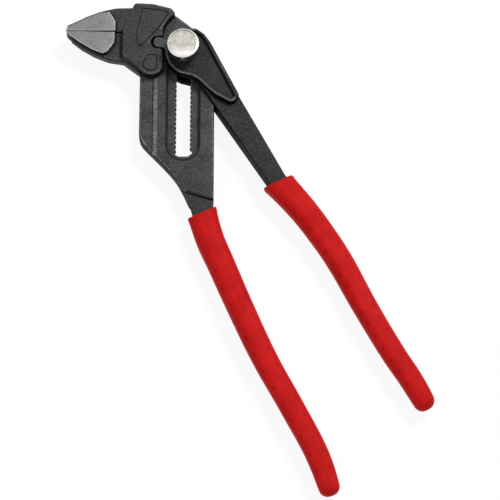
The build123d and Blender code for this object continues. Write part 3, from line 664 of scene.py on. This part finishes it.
def gripTree(finish):  # a rounded section along a handle's line: lip, taper, rows of marks and a domed end
    made = bpy.data.node_groups.new("gripSweep", "GeometryNodeTree")
    made.interface.new_socket("Line", in_out="INPUT", socket_type="NodeSocketGeometry")
    for name in (*gripSizes, *gripRatios, "Tilt", "Mouth flat", "Mark spacing"):
        made.interface.new_socket(name, in_out="INPUT", socket_type="NodeSocketFloat")
    made.interface.new_socket("Around", in_out="INPUT", socket_type="NodeSocketInt")
    made.interface.new_socket("Grip", in_out="OUTPUT", socket_type="NodeSocketGeometry")
    tree = Tree(made)

    def given(name):
        return tree.add("NodeGroupInput", out=name)

    def stored(name, kind="FLOAT"):
        return tree.add("GeometryNodeInputNamedAttribute", {"data_type": kind}, {"Name": name})

    def store(geometry, name, kind, value):
        return tree.add("GeometryNodeStoreNamedAttribute", {"data_type": kind, "domain": "POINT"},
                        {"Geometry": geometry, "Name": name, "Value": value})

    line = tree.add("GeometryNodeResampleCurve", {"mode": "LENGTH"},
                    {"Curve": given("Line"), "Length": given("Ring spacing")})
    total = tree.add("GeometryNodeSplineLength", out="Length")
    along = tree.add("GeometryNodeSplineParameter", out="Length")
    taper = tree.add("ShaderNodeFloatCurve", {"stops": widthStops}, {"Value": along / total})
    past = (1 - (total - along) / given("End round")).least(0)
    dome = given("End flat") + (1 - given("End flat")) * (1 - past * past).least(0).root()
    before = (1 - along / given("Lip round")).least(0)
    lipShape = 1 - given("Lip drop") * (1 - (1 - before * before).least(0).root())
    flare = 1 + given("Flare") * (1 - (along / given("Flare length")).rise(0, 1))
    line = tree.add("GeometryNodeSetCurveNormal", {"mode": "Z_UP"}, {"Curve": line})
    kept = {"centre": ("FLOAT_VECTOR", tree.add("GeometryNodeInputPosition")),
            "heading": ("FLOAT_VECTOR", tree.add("GeometryNodeInputTangent")),
            "along": ("FLOAT", along), "total": ("FLOAT", total),
            "scale": ("FLOAT", taper * dome * lipShape * flare)}
    for name, (kind, value) in kept.items():
        line = store(line, name, kind, value)

    section = tree.add("GeometryNodeCurvePrimitiveQuadrilateral", None,
                       {"Width": given("Width"), "Height": given("Thickness")})
    section = tree.add("GeometryNodeFilletCurve", {"mode": "POLY"},
                       {"Curve": section, "Radius": given("Corner"), "Count": gripForm["cornerSteps"],
                        "Limit Radius": True})
    section = tree.add("GeometryNodeResampleCurve", None, {"Curve": section, "Count": given("Around")})
    skin = tree.add("GeometryNodeCurveToMesh", None,
                    {"Curve": line, "Profile Curve": section, "Scale": stored("scale"), "Fill Caps": True})

    heading = stored("heading", "FLOAT_VECTOR")
    reach = tree.vector("SUBTRACT", tree.add("GeometryNodeInputPosition"), stored("centre", "FLOAT_VECTOR"))
    across = tree.vector("DOT_PRODUCT", reach, tree.vector("CROSS_PRODUCT", (0, 0, 1), heading), out="Value")
    height = tree.part(reach, "Z")
    spot = stored("along")
    atMouth = 1 - (spot / given("Mouth length")).rise(0, 1)
    slant = across * given("Tilt") * (1 - (spot / given("Tilt length")).rise(0, 1))
    slant = slant + height.plain() * given("Mouth set-back") * atMouth
    sink = tree.vector("SCALE", (0, 0, -1), scale=height * given("Mouth flat") * atMouth)
    shift = tree.vector("ADD", tree.vector("SCALE", heading, scale=slant), sink)
    skin = tree.add("GeometryNodeSetPosition", None, {"Geometry": skin, "Offset": shift})

    half = given("Width") * 0.5 * stored("scale")
    rowOff = ((across / half - given("Row middle")).plain() - given("Mark row")).plain() * half
    inRow = 1 - (rowOff / given("Mark width")).rise(*gripForm["markEdge"])
    cell = (spot / given("Mark spacing")).rest()
    inCell = (cell - 0.5).plain() * given("Mark spacing") / given("Mark length")
    inCell = 1 - inCell.rise(*gripForm["markEdge"])
    step = gripForm["step"] * mm
    inGrip = (spot - given("Mark start")).rise(0, step)
    inGrip = inGrip * (stored("total") - spot - given("Mark end")).rise(0, step)
    flatSide = (height.plain() / (given("Thickness") * 0.5)).rise(*gripForm["flatSide"])
    mark = inRow * inCell * inGrip * flatSide
    skin = store(skin, "mark", "FLOAT", mark)
    push = tree.vector("SCALE", tree.add("GeometryNodeInputNormal"), scale=0 - mark * given("Mark depth"))
    skin = tree.add("GeometryNodeSetPosition", None, {"Geometry": skin, "Offset": push})
    for name in kept:
        skin = tree.add("GeometryNodeRemoveAttribute", None, {"Geometry": skin, "Name": name})
    skin = tree.add("GeometryNodeSetShadeSmooth", None, {"Geometry": skin, "Shade Smooth": True})
    skin = tree.add("GeometryNodeRealizeInstances", None, {"Geometry": skin})
    skin = tree.add("GeometryNodeSetMaterial", None, {"Geometry": skin, "Material": finish})
    tree.add("NodeGroupOutput", None, {"Grip": skin})
    return made


def makeGrip(name, node, settings, tree):
    line = bpy.data.curves.new(name + "Line", "CURVE")
    line.dimensions = "3D"
    spline = line.splines.new("BEZIER")
    spline.bezier_points.add(len(settings["shares"]) - 1)
    for point, (x, y) in zip(spline.bezier_points, settings["shares"]):
        point.co = Vector((settings["mouth"][0] + settings["run"][0] * x,
                           settings["mouth"][1] + settings["run"][1] * y, gripForm["middle"])) * mm
        point.handle_left_type = "AUTO"
        point.handle_right_type = "AUTO"
    spline.resolution_u = gripForm["lineSteps"]
    guide = bpy.data.objects.new(name + "Guide", line)
    bpy.context.collection.objects.link(guide)
    sweep = guide.modifiers.new("sweep", "NODES")
    sweep.node_group = tree
    values = {label: size * mm for label, size in gripSizes.items()} | gripRatios
    values["Around"] = gripForm["around"]
    values["Tilt"] = math.tan(math.radians(settings["tilt"]))
    values["Mouth flat"] = settings["mouthFlat"]
    values["Mark spacing"] = settings["markSpacing"] * mm
    for item in tree.interface.items_tree:
        if item.in_out == "INPUT" and item.name in values:
            sweep[item.identifier] = values[item.name]
    mesh = bpy.data.meshes.new_from_object(guide.evaluated_get(bpy.context.evaluated_depsgraph_get()))
    bpy.data.objects.remove(guide)
    form = bmesh.new()
    form.from_mesh(mesh)
    bmesh.ops.remove_doubles(form, verts=form.verts, dist=gripForm["weld"] * mm)
    bmesh.ops.recalc_face_normals(form, faces=form.faces)
    form.to_mesh(mesh)
    form.free()
    piece = bpy.data.objects.new(name, mesh)
    bpy.context.collection.objects.link(piece)
    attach(piece, settings["body"])
    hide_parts(node)
    print(name, "made with", len(mesh.vertices), "points")


sweepTree = gripTree(dippedRed("satinRed"))
makeGrip("slottedHandleGrip", "slotted_handle_grip", leftGrip, sweepTree)
makeGrip("leverHandleGrip", "lever_handle_grip", rightGrip, sweepTree)


# The room's sizes and places are in metres, its powers in watts.
room = {"floorSize": 4.0, "floorDrop": 0.00005, "floorColour": 0.86, "floorRoughness": 0.9, "floorGlow": 0.86,
        "floorWhite": 1.05, "fill": 0.34,
        "key": {"place": (0.55, 0.45, 1.1), "size": 0.42, "power": 11.0},
        "side": {"place": (-0.8, -0.6, 0.7), "size": 0.8, "power": 2.0}}


def makeFloor():  # just under the tool, so that no two faces lie in one plane
    mesh = bpy.data.meshes.new("floor")
    half, low = room["floorSize"] / 2, -room["floorDrop"]
    mesh.from_pydata([(-half, -half, low), (half, -half, low), (half, half, low), (-half, half, low)], [],
                     [(0, 1, 2, 3)])
    floor = bpy.data.objects.new("floor", mesh)
    bpy.context.collection.objects.link(floor)
    made = Finish("paleFloor", **{"Roughness": room["floorRoughness"], "Specular IOR Level": 0.0,
                                  "Base Color": grey(room["floorColour"])})
    glow = made.add("ShaderNodeEmission", None, {"Color": grey(1), "Strength": room["floorWhite"]},
                    out="Emission")
    shadowed = Link(made, made.shader.outputs["BSDF"])
    mixed = made.add("ShaderNodeMixShader", None, {0: made.seen() * room["floorGlow"], 1: shadowed, 2: glow},
                     out="Shader")
    made.links.new(mixed.socket, made.nodes["Material Output"].inputs["Surface"])
    mesh.materials.append(made.material)


def makeWorld():  # white to look at, and dimmer as a light
    world = bpy.data.worlds.new("whiteRoom")
    bpy.context.scene.world = world
    world.use_nodes = True
    tree = Tree(world.node_tree)
    back = world.node_tree.nodes["Background"]
    back.inputs["Color"].default_value = grey(1)
    tree.links.new((room["fill"] + tree.seen() * (1 - room["fill"])).socket, back.inputs["Strength"])


def makeLamp(name, settings, aim):
    lamp = bpy.data.lights.new(name, "AREA")
    lamp.shape = "DISK"
    lamp.size = settings["size"]
    lamp.energy = settings["power"]
    holder = bpy.data.objects.new(name, lamp)
    holder.location = settings["place"]
    holder.rotation_euler = (aim - holder.location).to_track_quat("-Z", "Y").to_euler()
    bpy.context.collection.objects.link(holder)


view = {"target": (30.56, -94.97, 7.5), "place": (30.56, -436.99, 947.2), "lens": 160.8, "sensor": 36,
        "nearest": 50}


def makeCamera(aim):
    camera = bpy.data.cameras.new("camera")
    camera.lens = view["lens"]
    camera.sensor_width = view["sensor"]
    camera.clip_start = view["nearest"] * mm
    holder = bpy.data.objects.new("camera", camera)
    holder.location = Vector(view["place"]) * mm
    holder.rotation_euler = (aim - holder.location).to_track_quat("-Z", "Y").to_euler()
    bpy.context.collection.objects.link(holder)
    bpy.context.scene.camera = holder


makeFloor()
makeWorld()
target = Vector(view["target"]) * mm
makeLamp("key", room["key"], target)
makeLamp("side", room["side"], target)
makeCamera(target)
bpy.context.scene.view_settings.view_transform = "Standard"
print("room and camera made")
